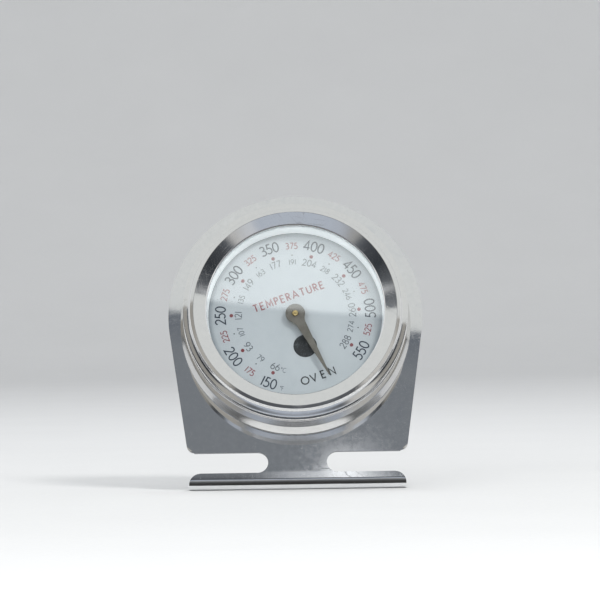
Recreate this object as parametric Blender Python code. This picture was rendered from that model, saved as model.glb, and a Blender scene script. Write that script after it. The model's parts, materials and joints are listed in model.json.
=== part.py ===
"""Dial oven thermometer on a bent sheet-metal stand.

A round head (case, bezel, lens, dial and a spiral bimetal movement) turns on a
central swivel rivet in a stand bent from one piece of sheet. The plate leans
back, the foot runs backwards under it, and a slot is open on each side.

Frame: +X right, front faces -Y, +Z up, underside of the foot at Z = 0, origin
at the centre of the foot's flat underside. Dimensions are in millimetres and
are scaled to metres. Head pieces are drawn about the head axis, where local
+Z is the outward normal of the plate and local Z = 0 is its front surface.
In names, _R is a radius, _T a thickness and _H a height above that surface.
"""
import bpy
import bmesh
from math import pi, sin, cos, acos, atan2, hypot, radians, degrees
from mathutils import Vector

for old_object in list(bpy.data.objects):
    bpy.data.objects.remove(old_object, do_unlink=True)

MM = 0.001
MERGE_DIST = 1e-4

SEG_BIG = 60
SEG_MID = 30
SEG_SMALL = 20
SEG_PUNCH = 16

# ------------------------------------------------- dimensions: stand
LEAN_DEG = 18.6            # lean of the plate from vertical
SHEET_T = 0.8
BEND_R = 2.5               # outside radius of the bend
BEND_STEPS = 9
AXIS_Z = 42.6              # height of the head axis on the plate's front face
TOP_ARC_R = 33.25          # radius of the rounded top
TOP_ARC_UP = 2.35          # its centre above the head axis
SHOULDER_HALF_W = 28.4     # half width where the tapering sides end
SHOULDER_R = 2.2           # corner rounding of those lower shoulders
SLOT_TOP_BELOW = 34.7      # upper edge of the side slots, below the head axis
SLOT_BOT_BELOW = 40.2      # lower edge of the side slots
SLOT_BRIDGE_HALF = 7.6     # half width of the bridge left between the slots
FLANGE_HALF_W = 28.1       # half width of the strip under the slots, and foot
FLANGE_R = 3.0             # rounding of its upper corners
FOOT_DEPTH = 24.5          # flat length of the foot behind the bend
FOOT_R = 4.0               # rounding of its rear corners
PIVOT_HOLE_R = 2.1         # swivel hole in the plate

# -------------------------------------------------- dimensions: head
WALL_R = 29.2              # outside of case wall and bezel skirt
BASE_R = 30.0              # lip at the foot of the case wall
CASE_BACK_H = 0.3          # underside of the case above the plate
CASE_T = 0.55              # case sheet thickness
CASE_FLOOR_H = CASE_BACK_H + CASE_T
CASE_BORE_R = 2.1
RECESS_R = 9.0             # raised centre of the case back
RECESS_H = 0.95            # underside of that raised centre
SEAM_H = 9.2               # lower edge of the bezel skirt
SHOULDER_H = 12.7          # front shoulder of the bezel
CREST_R = 26.3             # highest ring of the bezel
CREST_H = 13.92
LENS_OPEN_R = 23.0         # clear opening over the lens
LENS_R = 26.5
LENS_BOT_H = 10.95
LENS_T = 1.15
LENS_CHAMFER = 0.25
DIAL_H = 7.5               # front face of the dial
DIAL_T = 0.5
DIAL_R = 27.0
DIAL_HOLE_R = 1.55
SPACER_IN_R = 22.6         # inner wall of the spacer between dial and lens
SPACER_OUT_R = 26.95
SPACER_WALL_T = 0.45
SPACER_WEB_T = 0.5
SPACER_BOT_H = DIAL_H + 0.2
SPACER_TOP_H = 10.7

# ---------------------------------------------- dimensions: movement
BRIDGE_HALF_W = 3.6
BRIDGE_T = 0.55
BRIDGE_LOW_H = CASE_FLOOR_H + 0.22     # underside of the bridge feet
BRIDGE_HIGH_H = 2.62                   # underside of its raised middle
BRIDGE_END_X = 18.6
BRIDGE_STEP_OUT_X = 12.6               # bottom of each slope
BRIDGE_STEP_IN_X = 9.6                 # top of each slope
BRIDGE_CORNER_R = 2.2
BRIDGE_RIVET_X = 15.6
RIVET_PUNCH_R = 1.1
BRIDGE_BUSH_PUNCH_R = 1.75
COIL_TURNS = 6.25
COIL_STEPS_PER_TURN = 20
COIL_R_IN = 2.55                       # centre line of the strip
COIL_R_OUT = 11.2
COIL_STRIP_T = 0.35
COIL_W = 2.2
COIL_H = 4.05
POST_AXIS_R = 12.75                    # anchor post from the head axis
POST_ANGLE = 2 * pi * COIL_TURNS       # in line with the coil's outer end
POST_X = POST_AXIS_R * cos(POST_ANGLE)
POST_Y = POST_AXIS_R * sin(POST_ANGLE)
POST_PUNCH_R = 0.9
SPINDLE_R = 0.75
SPINDLE_CLEARANCE = 0.1
BORE_R = SPINDLE_R + SPINDLE_CLEARANCE
POINTER_H = 9.25                       # underside of the pointer blade
POINTER_T = 0.3
POINTER_LEN = 18.9
POINTER_HUB_R = 2.55
POINTER_ROOT_DEG = 62.0                # where the blade's right edge leaves the hub
POINTER_NECK_Y = 4.6
POINTER_NECK_HALF_W = 1.118
POINTER_TIP_HALF_W = 0.2
POINTER_TIP_POINT = 0.15               # length of the final point
POINTER_DEG = 152.8                    # rest direction, clockwise from straight up

# ----------------------------------------------------- stand geometry
LEAN_SIN, LEAN_COS = sin(radians(LEAN_DEG)), cos(radians(LEAN_DEG))
PLATE_UP = Vector((0.0, LEAN_SIN, LEAN_COS))
PLATE_NORMAL = Vector((0.0, -LEAN_COS, LEAN_SIN))      # out of the front
BEND_CENTRE = Vector((0.0, -0.5 * FOOT_DEPTH, BEND_R))
BEND_ANGLE = radians(90.0 + LEAN_DEG)
BEND_LEN = BEND_R * BEND_ANGLE
# distance up the plate from the bend tangent to the head axis
AXIS_UP = (AXIS_Z - BEND_R - BEND_R * LEAN_SIN) / LEAN_COS
AXIS_POINT = BEND_CENTRE + PLATE_NORMAL * BEND_R + PLATE_UP * AXIS_UP

# ---------------------------------------------------- metal finishes
CHROME = dict(color=(0.66, 0.67, 0.68), roughness=0.10, metallic=1.0)
BRASS = dict(color=(0.72, 0.53, 0.24), roughness=0.28, metallic=1.0)
PLAIN_STEEL = dict(color=(0.50, 0.51, 0.52), roughness=0.35, metallic=1.0)


# ------------------------------------------------------------ helpers
def make_material(name, color, roughness, metallic, alpha=1.0):
    material = bpy.data.materials.new(name)
    material.use_nodes = True
    inputs = material.node_tree.nodes["Principled BSDF"].inputs
    inputs["Base Color"].default_value = (*color, 1.0)
    inputs["Roughness"].default_value = roughness
    inputs["Metallic"].default_value = metallic
    inputs["Alpha"].default_value = alpha
    return material


def make_axis(name, parent, location, rotation):
    """Empty that carries the pieces turning with it."""
    axis = bpy.data.objects.new(name, None)
    bpy.context.collection.objects.link(axis)
    axis.parent = parent
    axis.location = location
    axis.rotation_euler = rotation
    return axis


def add_object(name, bm, parent):
    """Turn a bmesh given in millimetres into a linked object in metres."""
    bmesh.ops.scale(bm, vec=(MM, MM, MM), verts=bm.verts[:])
    mesh = bpy.data.meshes.new(name)
    bm.to_mesh(mesh)
    bm.free()
    obj = bpy.data.objects.new(name, mesh)
    bpy.context.collection.objects.link(obj)
    obj.parent = parent
    return obj


def finish(name, bm, material, parent, smooth_deg=35.0):
    """Merge, orient and shade a bmesh, and add it as one object."""
    bmesh.ops.remove_doubles(bm, verts=bm.verts[:], dist=MERGE_DIST)
    bmesh.ops.recalc_face_normals(bm, faces=bm.faces[:])
    obj = add_object(name, bm, parent)
    obj.data.materials.append(material)
    obj.data.shade_smooth()
    obj.data.set_sharp_from_angle(angle=radians(smooth_deg))
    return obj


def turned(name, profile, segments, material, parent, at=(0.0, 0.0)):
    """Spin a profile of (radius, height) points about local Z.

    A profile that starts off the axis is closed into a ring section. One that
    starts on the axis also ends there, and gives a solid without a bore."""
    bm = bmesh.new()
    verts = [bm.verts.new((radius, 0.0, z)) for radius, z in profile]
    edges = [bm.edges.new(pair) for pair in zip(verts, verts[1:])]
    if profile[0][0] > 0:
        edges.append(bm.edges.new((verts[-1], verts[0])))
    bmesh.ops.spin(bm, geom=verts + edges, cent=(0, 0, 0), axis=(0, 0, 1),
                   dvec=(0, 0, 0), angle=2 * pi, steps=segments,
                   use_merge=True, use_duplicate=False)
    bmesh.ops.remove_doubles(bm, verts=bm.verts[:], dist=MERGE_DIST)
    bmesh.ops.dissolve_degenerate(bm, dist=1e-5, edges=bm.edges[:])
    obj = finish(name, bm, material, parent)
    obj.location = (at[0] * MM, at[1] * MM, 0)
    return obj


def flat_ring(inner_r, outer_r, bottom, top):
    """Rectangular ring section."""
    return [(inner_r, bottom), (outer_r, bottom), (outer_r, top), (inner_r, top)]


def flanged_bush(body_r, flange_r, bottom, flange_bottom, top):
    """Bush section around the spindle, with a flange at its front end."""
    return [(BORE_R, bottom), (body_r, bottom), (body_r, flange_bottom),
            (flange_r, flange_bottom), (flange_r, top), (BORE_R, top)]


def arc(cx, cy, radius, start_deg, end_deg, steps):
    """Points on an arc, both ends included."""
    angles = [radians(start_deg + (end_deg - start_deg) * i / steps)
              for i in range(steps + 1)]
    return [(cx + radius * cos(a), cy + radius * sin(a)) for a in angles]


def circle(cx, cy, radius, segments):
    return arc(cx, cy, radius, 0, 360, segments)[:-1]


def flat_blank(outline, hole, z):
    """Flat filled outline with one hole, at height z."""
    bm = bmesh.new()
    edges = []
    for loop in (outline, hole):
        verts = [bm.verts.new((x, y, z)) for x, y in loop]
        for i, vert in enumerate(verts):
            edges.append(bm.edges.new((vert, verts[(i + 1) % len(verts)])))
    bmesh.ops.triangle_fill(bm, use_beauty=True, use_dissolve=False, edges=edges)
    return bm


def extrude_faces(bm, faces, offset, **options):
    """Extrude faces and move the new copy by offset."""
    result = bmesh.ops.extrude_face_region(bm, geom=faces, **options)
    moved = [item for item in result["geom"] if isinstance(item, bmesh.types.BMVert)]
    bmesh.ops.translate(bm, vec=offset, verts=moved)


def thicken(bm, height):
    extrude_faces(bm, bm.faces[:], (0, 0, height), use_keep_orig=True)


def strip_mesh(stations, looped):
    """Rectangular strip around local Z through the given stations.

    Each station is (angle, inner radius, outer radius, bottom, top)."""
    bm = bmesh.new()
    rings = []
    for angle, inner_r, outer_r, bottom, top in stations:
        rings.append([bm.verts.new((radius * cos(angle), radius * sin(angle), z))
                      for radius, z in flat_ring(inner_r, outer_r, bottom, top)])
    following = rings[1:] + rings[:1] if looped else rings[1:]
    for ring, after in zip(rings, following):
        for k in range(4):
            m = (k + 1) % 4
            bm.faces.new((ring[k], after[k], after[m], ring[m]))
    if not looped:
        bm.faces.new(rings[0][::-1])
        bm.faces.new(rings[-1])
    return bm


def punch(target, tool_name, radius, x, y, bottom, top, segments=SEG_PUNCH):
    """Cut a round hole with a hidden cylinder along the head's local Z."""
    bm = bmesh.new()
    bmesh.ops.create_cone(bm, cap_ends=True, cap_tris=False, segments=segments,
                          radius1=radius, radius2=radius, depth=top - bottom)
    bmesh.ops.translate(bm, vec=(x, y, 0.5 * (bottom + top)), verts=bm.verts[:])
    tool = add_object(tool_name, bm, head_axis)
    tool.hide_render = True
    tool.display_type = 'WIRE'
    modifier = target.modifiers.new("punch_" + tool_name, 'BOOLEAN')
    modifier.operation = 'DIFFERENCE'
    modifier.solver = 'EXACT'
    modifier.object = tool


# --------------------------------------------------------------- axes
head_axis = make_axis("head_axis", None, AXIS_POINT * MM,
                      (radians(90.0 - LEAN_DEG), 0.0, 0.0))
pointer_axis = make_axis("pointer_axis", head_axis, (0.0, 0.0, 0.0),
                         (0.0, 0.0, -radians(POINTER_DEG)))


# -------------------------------------------------------- stand plate
def stand_outline():
    """Outline of the flat blank as (x, s), clockwise from the top centre.

    s = 0 is the bend tangent on the plate side and s rises up the plate; the
    bend and the foot are at negative s."""
    top_centre_s = AXIS_UP + TOP_ARC_UP
    slot_top_s = AXIS_UP - SLOT_TOP_BELOW
    slot_bot_s = AXIS_UP - SLOT_BOT_BELOW
    slot_r = 0.5 * (slot_top_s - slot_bot_s)
    foot_end_s = -BEND_LEN - FOOT_DEPTH

    # the straight side runs from the lower shoulder, tangent to the top arc
    drop = slot_top_s - top_centre_s
    side_angle = (atan2(drop, SHOULDER_HALF_W)
                  + acos(TOP_ARC_R / hypot(SHOULDER_HALF_W, drop)))
    side_deg = degrees(side_angle)                 # outward normal of the side
    # centre of the arc touching both the side and the upper slot edge
    shoulder_x = SHOULDER_HALF_W - SHOULDER_R * (1 + sin(side_angle)) / cos(side_angle)

    right = arc(0.0, top_centre_s, TOP_ARC_R, 90, side_deg, 24)
    right += arc(shoulder_x, slot_top_s + SHOULDER_R, SHOULDER_R, side_deg, -90, 5)
    right += arc(SLOT_BRIDGE_HALF + slot_r, slot_bot_s + slot_r, slot_r, 90, 270, 10)
    right += arc(FLANGE_HALF_W - FLANGE_R, slot_bot_s - FLANGE_R, FLANGE_R, 90, 0, 6)
    right += arc(FLANGE_HALF_W - FOOT_R, foot_end_s + FOOT_R, FOOT_R, 0, -90, 6)
    return right + [(-x, s) for x, s in reversed(right[1:])]


def fold(x, s, depth):
    """Place a blank point; depth is 0 on the outside face, negative inside."""
    radius = BEND_R + depth
    if s >= 0:
        point = BEND_CENTRE + PLATE_NORMAL * radius + PLATE_UP * s
    elif s > -BEND_LEN:
        angle = BEND_ANGLE * (-s / BEND_LEN)
        outward = PLATE_NORMAL * cos(angle) - PLATE_UP * sin(angle)
        point = BEND_CENTRE + outward * radius
    else:
        point = BEND_CENTRE + Vector((0, -BEND_LEN - s, -radius))
    return Vector((x, point.y, point.z))


def build_stand():
    """One sheet: rounded plate, two open side slots, bend and foot."""
    hole = circle(0.0, AXIS_UP, PIVOT_HOLE_R, SEG_SMALL)
    bm = flat_blank(stand_outline(), hole, 0.0)
    for k in range(BEND_STEPS + 1):                # fold lines across the bend
        bmesh.ops.bisect_plane(bm, geom=bm.verts[:] + bm.edges[:] + bm.faces[:],
                               dist=1e-5, plane_no=(0, 1, 0),
                               plane_co=(0, -BEND_LEN * k / BEND_STEPS, 0))
    bmesh.ops.triangulate(bm, faces=bm.faces[:])
    thicken(bm, -SHEET_T)
    for vert in bm.verts:
        vert.co = fold(*vert.co)
    steel = make_material("stand_steel", color=(0.62, 0.64, 0.65),
                          roughness=0.12, metallic=1.0)
    finish("stand_plate", bm, steel, None, smooth_deg=25.0)


build_stand()

# All profiles below are lists of (radius, height) about the head axis.

# -------------------------------------------------- swivel of the head
turned("rear_washer", flat_ring(inner_r=2.15, outer_r=5.0, bottom=-1.5, top=-1.05),
       SEG_MID, make_material("rear_washer_steel", **PLAIN_STEEL), head_axis)

SWIVEL_RIVET_PROFILE = [
    (0, -2.75), (1.4, -2.65), (2.5, -2.3), (3.2, -1.75), (1.9, -1.75),
    (1.9, 1.7), (3.0, 1.7), (2.8, 2.2), (2.2, 2.35), (0, 2.35)]
turned("swivel_rivet", SWIVEL_RIVET_PROFILE, SEG_MID,
       make_material("swivel_rivet_steel", **PLAIN_STEEL), head_axis)


def build_wave_washer():
    """Thin spring washer, between plate and case back."""
    inner_r, outer_r, thickness = 2.5, 6.4, 0.26
    mid_h, amplitude, waves, steps = 0.48, 0.17, 3, 48
    stations = []
    for i in range(steps):
        angle = 2 * pi * i / steps
        z = mid_h + amplitude * cos(waves * angle)
        stations.append((angle, inner_r, outer_r, z - thickness / 2, z + thickness / 2))
    finish("friction_washer", strip_mesh(stations, looped=True),
           make_material("friction_washer_steel", **PLAIN_STEEL), head_axis)


build_wave_washer()

# ----------------------------------------------------------- case cup
CASE_PROFILE = [
    # underside, with its raised centre, and the lip at the foot of the wall
    (CASE_BORE_R, RECESS_H), (RECESS_R - 0.5, RECESS_H),
    (RECESS_R + 0.6, CASE_BACK_H), (BASE_R - 0.25, CASE_BACK_H),
    (BASE_R, CASE_BACK_H + 0.2), (BASE_R, CASE_BACK_H + 0.65),
    (BASE_R - 0.3, CASE_BACK_H + 0.95), (WALL_R + 0.1, CASE_BACK_H + 1.2),
    # outside of the wall, and the narrower rim inside the bezel
    (WALL_R, CASE_BACK_H + 1.7), (WALL_R, 8.55), (WALL_R - 0.25, 8.85),
    (WALL_R - 0.9, 8.95), (WALL_R - 0.9, 11.95), (WALL_R - 1.4, 11.95),
    # inside of the wall and the floor
    (WALL_R - 1.4, 8.75), (WALL_R - 0.65, 8.3),
    (WALL_R - 0.65, CASE_FLOOR_H + 0.5), (WALL_R - 1.1, CASE_FLOOR_H),
    (RECESS_R + 0.9, CASE_FLOOR_H), (RECESS_R - 0.2, RECESS_H + CASE_T),
    (CASE_BORE_R, RECESS_H + CASE_T)]
case = turned("case_cup", CASE_PROFILE, SEG_BIG,
              make_material("case_steel", **CHROME), head_axis)
for tag, x, y, radius in (("left", -BRIDGE_RIVET_X, 0.0, RIVET_PUNCH_R),
                          ("right", BRIDGE_RIVET_X, 0.0, RIVET_PUNCH_R),
                          ("post", POST_X, POST_Y, POST_PUNCH_R)):
    punch(case, "cut_case_" + tag, radius, x, y, bottom=-1.0, top=2.5)

# --------------------------------------------------------- bezel ring
BEZEL_PROFILE = [
    # skirt, shoulder and crest, outside
    (WALL_R - 0.6, SEAM_H), (WALL_R + 0.18, SEAM_H),
    (WALL_R + 0.18, SEAM_H + 0.5), (WALL_R, SEAM_H + 0.65),
    (WALL_R, SHOULDER_H - 0.35), (WALL_R - 0.35, SHOULDER_H),
    (27.75, SHOULDER_H), (27.5, SHOULDER_H + 0.3), (27.3, SHOULDER_H + 0.8),
    (26.9, CREST_H - 0.12), (CREST_R, CREST_H), (25.8, CREST_H - 0.12),
    # inner edge, and back along the inside
    (LENS_OPEN_R + 0.2, 12.95), (LENS_OPEN_R, 12.7), (LENS_OPEN_R + 0.15, 12.45),
    (25.8, 13.3), (26.3, 13.42), (26.75, 13.3),
    (27.05, 12.5), (27.35, 12.18), (WALL_R - 0.6, 12.18)]
turned("bezel_ring", BEZEL_PROFILE, SEG_BIG,
       make_material("bezel_chrome", **CHROME), head_axis)

# ----------------------------------------------------- lens and rings
LENS_TOP_H = LENS_BOT_H + LENS_T
LENS_PROFILE = [
    (0, LENS_BOT_H), (LENS_R, LENS_BOT_H), (LENS_R, LENS_TOP_H - LENS_CHAMFER),
    (LENS_R - LENS_CHAMFER, LENS_TOP_H), (0, LENS_TOP_H)]
turned("lens", LENS_PROFILE, SEG_BIG,
       make_material("lens_glass", color=(0.92, 0.95, 0.96), roughness=0.03,
                     metallic=0.0, alpha=0.25), head_axis)

turned("lens_gasket", flat_ring(inner_r=26.75, outer_r=27.5, bottom=11.0, top=11.9),
       SEG_BIG, make_material("gasket_silicone", color=(0.34, 0.33, 0.31),
                              roughness=0.7, metallic=0.0), head_axis)

# channel section, open towards the dial
SPACER_WEB_H = SPACER_TOP_H - SPACER_WEB_T
SPACER_PROFILE = [
    (SPACER_IN_R, SPACER_BOT_H), (SPACER_IN_R + SPACER_WALL_T, SPACER_BOT_H),
    (SPACER_IN_R + SPACER_WALL_T, SPACER_WEB_H),
    (SPACER_OUT_R - SPACER_WALL_T, SPACER_WEB_H),
    (SPACER_OUT_R - SPACER_WALL_T, SPACER_BOT_H), (SPACER_OUT_R, SPACER_BOT_H),
    (SPACER_OUT_R, SPACER_TOP_H), (SPACER_IN_R, SPACER_TOP_H)]
turned("spacer_ring", SPACER_PROFILE, SEG_BIG,
       make_material("spacer_alu", color=(0.80, 0.81, 0.80), roughness=0.3,
                     metallic=1.0), head_axis)

turned("dial_plate", flat_ring(DIAL_HOLE_R, DIAL_R, DIAL_H - DIAL_T, DIAL_H),
       SEG_BIG, make_material("dial_alu", color=(0.60, 0.65, 0.70),
                              roughness=0.35, metallic=0.6), head_axis)

DIAL_SUPPORT_PROFILE = [
    (26.0, 1.1), (26.6, 1.1), (26.6, 6.2), (26.9, 6.4), (26.9, 6.8), (26.0, 6.8)]
turned("dial_support_ring", DIAL_SUPPORT_PROFILE, SEG_BIG,
       make_material("support_alu", color=(0.72, 0.73, 0.73), roughness=0.4,
                     metallic=1.0), head_axis)


# ---------------------------------------------------- movement bridge
def mitred_offset(line, thickness):
    """Points of an open (x, z) line moved to its upper side.

    The two end stretches are level, so the end points move straight up."""
    points = [Vector(point) for point in line]
    lift = Vector((0.0, thickness))
    moved = [points[0] + lift]
    for before, point, after in zip(points, points[1:], points[2:]):
        dir_in = (point - before).normalized()
        dir_out = (after - point).normalized()
        normal_in = Vector((-dir_in.y, dir_in.x))
        normal_out = Vector((-dir_out.y, dir_out.x))
        mitre = (normal_in + normal_out).normalized()
        moved.append(point + mitre * (thickness / mitre.dot(normal_in)))
    moved.append(points[-1] + lift)
    return [tuple(point) for point in moved]


def build_bridge():
    """Hat-section strap over the swivel rivet, carrying the rear bearing."""
    left = [(-BRIDGE_END_X, BRIDGE_LOW_H), (-BRIDGE_STEP_OUT_X, BRIDGE_LOW_H),
            (-BRIDGE_STEP_IN_X, BRIDGE_HIGH_H)]
    line = left + [(-x, z) for x, z in reversed(left)]
    section = line + mitred_offset(line, BRIDGE_T)[::-1]
    bm = bmesh.new()
    face = bm.faces.new([bm.verts.new((x, -BRIDGE_HALF_W, z)) for x, z in section])
    extrude_faces(bm, [face], (0, 2 * BRIDGE_HALF_W, 0))

    def at_end(vert):
        return abs(abs(vert.co.x) - BRIDGE_END_X) < 1e-4

    # round the four corners of the strap, seen from the front
    corners = [edge for edge in bm.edges
               if all(at_end(vert) for vert in edge.verts)
               and abs(edge.verts[0].co.z - edge.verts[1].co.z) > 0.1]
    bmesh.ops.bevel(bm, geom=corners, offset=BRIDGE_CORNER_R, segments=4,
                    profile=0.5, affect='EDGES')
    bridge = finish("movement_bridge", bm,
                    make_material("bridge_steel", **PLAIN_STEEL), head_axis)
    for tag, x, radius, segments in (
            ("left", -BRIDGE_RIVET_X, RIVET_PUNCH_R, SEG_PUNCH),
            ("right", BRIDGE_RIVET_X, RIVET_PUNCH_R, SEG_PUNCH),
            ("mid", 0.0, BRIDGE_BUSH_PUNCH_R, SEG_SMALL)):
        punch(bridge, "cut_bridge_" + tag, radius, x, 0.0, bottom=0.0, top=4.5,
              segments=segments)


build_bridge()

BRIDGE_RIVET_PROFILE = [
    (0, CASE_BACK_H), (0.9, CASE_BACK_H), (0.9, 1.85), (1.9, 1.85),
    (1.6, 2.3), (1.0, 2.55), (0, 2.6)]
for tag, x in (("left", -BRIDGE_RIVET_X), ("right", BRIDGE_RIVET_X)):
    turned("bridge_rivet_" + tag, BRIDGE_RIVET_PROFILE, SEG_SMALL,
           make_material("bridge_rivet_steel_" + tag, **PLAIN_STEEL),
           head_axis, at=(x, 0.0))

turned("rear_bearing_bush",
       flanged_bush(body_r=1.55, flange_r=2.5, bottom=2.6, flange_bottom=3.4, top=3.75),
       SEG_SMALL, make_material("rear_bush_brass", **BRASS), head_axis)

turned("front_bearing_bush",
       flanged_bush(body_r=1.35, flange_r=2.1, bottom=6.7, flange_bottom=7.7, top=8.05),
       SEG_SMALL, make_material("front_bush_brass", **BRASS), head_axis)


# ----------------------------------------------------- bimetal spiral
def build_coil():
    """Flat spiral strip, ending just inside the anchor post."""
    steps = int(round(COIL_TURNS * COIL_STEPS_PER_TURN))
    stations = []
    for i in range(steps + 1):
        part = i / steps
        radius = COIL_R_IN + (COIL_R_OUT - COIL_R_IN) * part
        stations.append((2 * pi * COIL_TURNS * part,
                         radius - COIL_STRIP_T / 2, radius + COIL_STRIP_T / 2,
                         COIL_H, COIL_H + COIL_W))
    bimetal = make_material("bimetal", color=(0.58, 0.50, 0.40),
                            roughness=0.35, metallic=1.0)
    finish("bimetal_coil", strip_mesh(stations, looped=False), bimetal, head_axis)


build_coil()

POST_PROFILE = [
    (0, CASE_BACK_H), (0.7, CASE_BACK_H), (0.7, 1.1), (1.1, 1.1),
    (1.1, 6.55), (0.95, 6.7), (0, 6.7)]
turned("coil_anchor_post", POST_PROFILE, SEG_SMALL,
       make_material("post_brass", **BRASS), head_axis, at=(POST_X, POST_Y))

# --------------------------------------------------- pointer assembly
turned("coil_hub", flat_ring(BORE_R, outer_r=1.95, bottom=3.95, top=6.35),
       SEG_SMALL, make_material("coil_hub_brass", **BRASS), pointer_axis)

SPINDLE_PROFILE = [
    (0, 2.75), (0.55, 2.75), (SPINDLE_R, 2.95), (SPINDLE_R, 9.95),
    (0.6, 10.12), (0, 10.16)]
turned("pointer_spindle", SPINDLE_PROFILE, SEG_SMALL,
       make_material("spindle_brass", **BRASS), pointer_axis)

turned("pointer_bush",
       flat_ring(BORE_R, outer_r=1.6, bottom=8.25, top=POINTER_H - 0.15),
       SEG_SMALL, make_material("pointer_bush_brass", **BRASS), pointer_axis)


def build_pointer():
    """Thin blade along local +Y: round hub and a straight taper to the tip."""
    hub = arc(0, 0, POINTER_HUB_R, 180 - POINTER_ROOT_DEG, 360 + POINTER_ROOT_DEG, 30)
    tip_base_y = POINTER_LEN - POINTER_TIP_POINT
    blade = [(POINTER_NECK_HALF_W, POINTER_NECK_Y),
             (POINTER_TIP_HALF_W, tip_base_y),
             (0.0, POINTER_LEN),
             (-POINTER_TIP_HALF_W, tip_base_y),
             (-POINTER_NECK_HALF_W, POINTER_NECK_Y)]
    bm = flat_blank(hub + blade, circle(0, 0, BORE_R, SEG_SMALL), POINTER_H)
    thicken(bm, POINTER_T)
    bronze = make_material("pointer_bronze", color=(0.115, 0.105, 0.095),
                           roughness=0.45, metallic=0.3)
    finish("pointer", bm, bronze, pointer_axis, smooth_deg=25.0)


build_pointer()
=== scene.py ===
"""Round oven thermometer on a leaning sheet-steel stand.

World frame: metres, Z up, front towards -Y, X to the right seen from the front.
The head is built in millimetres in its own frame: origin on the head axis, X to
the right, Y up the plate and Z out of the dial face. HEAD takes it to the world.
"""
import bpy, bmesh, json
from math import acos, asin, atan2, ceil, cos, degrees, pi, radians, sin, sqrt, tan
from mathutils import Vector, Matrix


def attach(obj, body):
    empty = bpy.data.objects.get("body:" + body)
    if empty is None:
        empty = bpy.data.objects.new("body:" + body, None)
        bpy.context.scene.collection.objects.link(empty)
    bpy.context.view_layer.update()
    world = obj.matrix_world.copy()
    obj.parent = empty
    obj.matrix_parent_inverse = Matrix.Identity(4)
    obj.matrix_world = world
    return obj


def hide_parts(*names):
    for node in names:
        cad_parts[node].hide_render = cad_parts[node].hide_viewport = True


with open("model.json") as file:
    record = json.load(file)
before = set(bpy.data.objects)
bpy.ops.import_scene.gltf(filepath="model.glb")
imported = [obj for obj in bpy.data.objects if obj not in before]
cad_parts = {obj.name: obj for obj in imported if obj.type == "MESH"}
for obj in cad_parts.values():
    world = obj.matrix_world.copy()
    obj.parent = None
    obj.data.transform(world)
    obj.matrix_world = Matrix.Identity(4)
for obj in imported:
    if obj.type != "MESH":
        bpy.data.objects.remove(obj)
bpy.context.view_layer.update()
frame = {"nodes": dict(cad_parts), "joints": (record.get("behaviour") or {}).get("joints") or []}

MM = 0.001


# ================================================================= frame
def axes_matrix(x_axis, y_axis, z_axis, origin):
    """Placement whose columns are the three axes and the origin."""
    return Matrix([(*x_axis, 0), (*y_axis, 0), (*z_axis, 0), (*origin, 1)]).transposed()


joints = {j["name"]: j for j in frame["joints"]}
AXIS_P = Vector(joints["head_turn"]["pos_m"])
FACE_OUT = -Vector(joints["head_turn"]["axis"]).normalized()    # out of the face
UP = FACE_OUT.cross(Vector((1, 0, 0))).normalized()             # up the plate
HEAD = axes_matrix((1, 0, 0), UP, FACE_OUT, AXIS_P)
LEAN = asin(FACE_OUT.z)

# ------------------------------------ head sizes, mm; heights are along local Z
CASE_BACK = 0.3
DIAL_TOP, DIAL_T, DIAL_R = 7.5, 0.5, 27.0
LENS_R, LENS_BOTTOM, LENS_T = 26.5, 10.95, 1.15
LENS_TILT, LENS_PIVOT = -0.36, 11.5       # degrees about X, at this height
SPINDLE_R = 0.75
SPINDLE_HOLE_R = SPINDLE_R + 0.1
POINTER_BOTTOM, POINTER_T, POINTER_LEN, POINTER_HUB_R = 9.25, 0.3, 18.9, 2.55
# dial angles are in degrees, clockwise from straight up
POINTER_DEG = 152.8
DIAL_TURN = -19.6                         # how far the dial stands turned at rest
TOP_F, DEG_PER_F = 350, 0.6966            # mark at the dial's own top, and the scale

# ---------------------- stand sizes, mm; "along" runs up the plate from the bend
SHEET_T = 0.8
BEND_R = 2.5                              # outside of the bend
BEND_ANGLE = radians(90.0) + LEAN
BEND_LEN = BEND_R * BEND_ANGLE
BEND_CENTRE = Vector((0.0, -12.25, BEND_R))
AXIS_ALONG = (AXIS_P.z * 1000 - BEND_R - BEND_R * sin(LEAN)) / cos(LEAN)
EASE_LEN, EASE_ANGLE = 3.4, 0.062         # run-in above the bend, and its angle
EASE_DIP = EASE_ANGLE * EASE_LEN / 3


# ============================================================ node helper
DEG_PER_RAD = 57.2958


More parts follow.
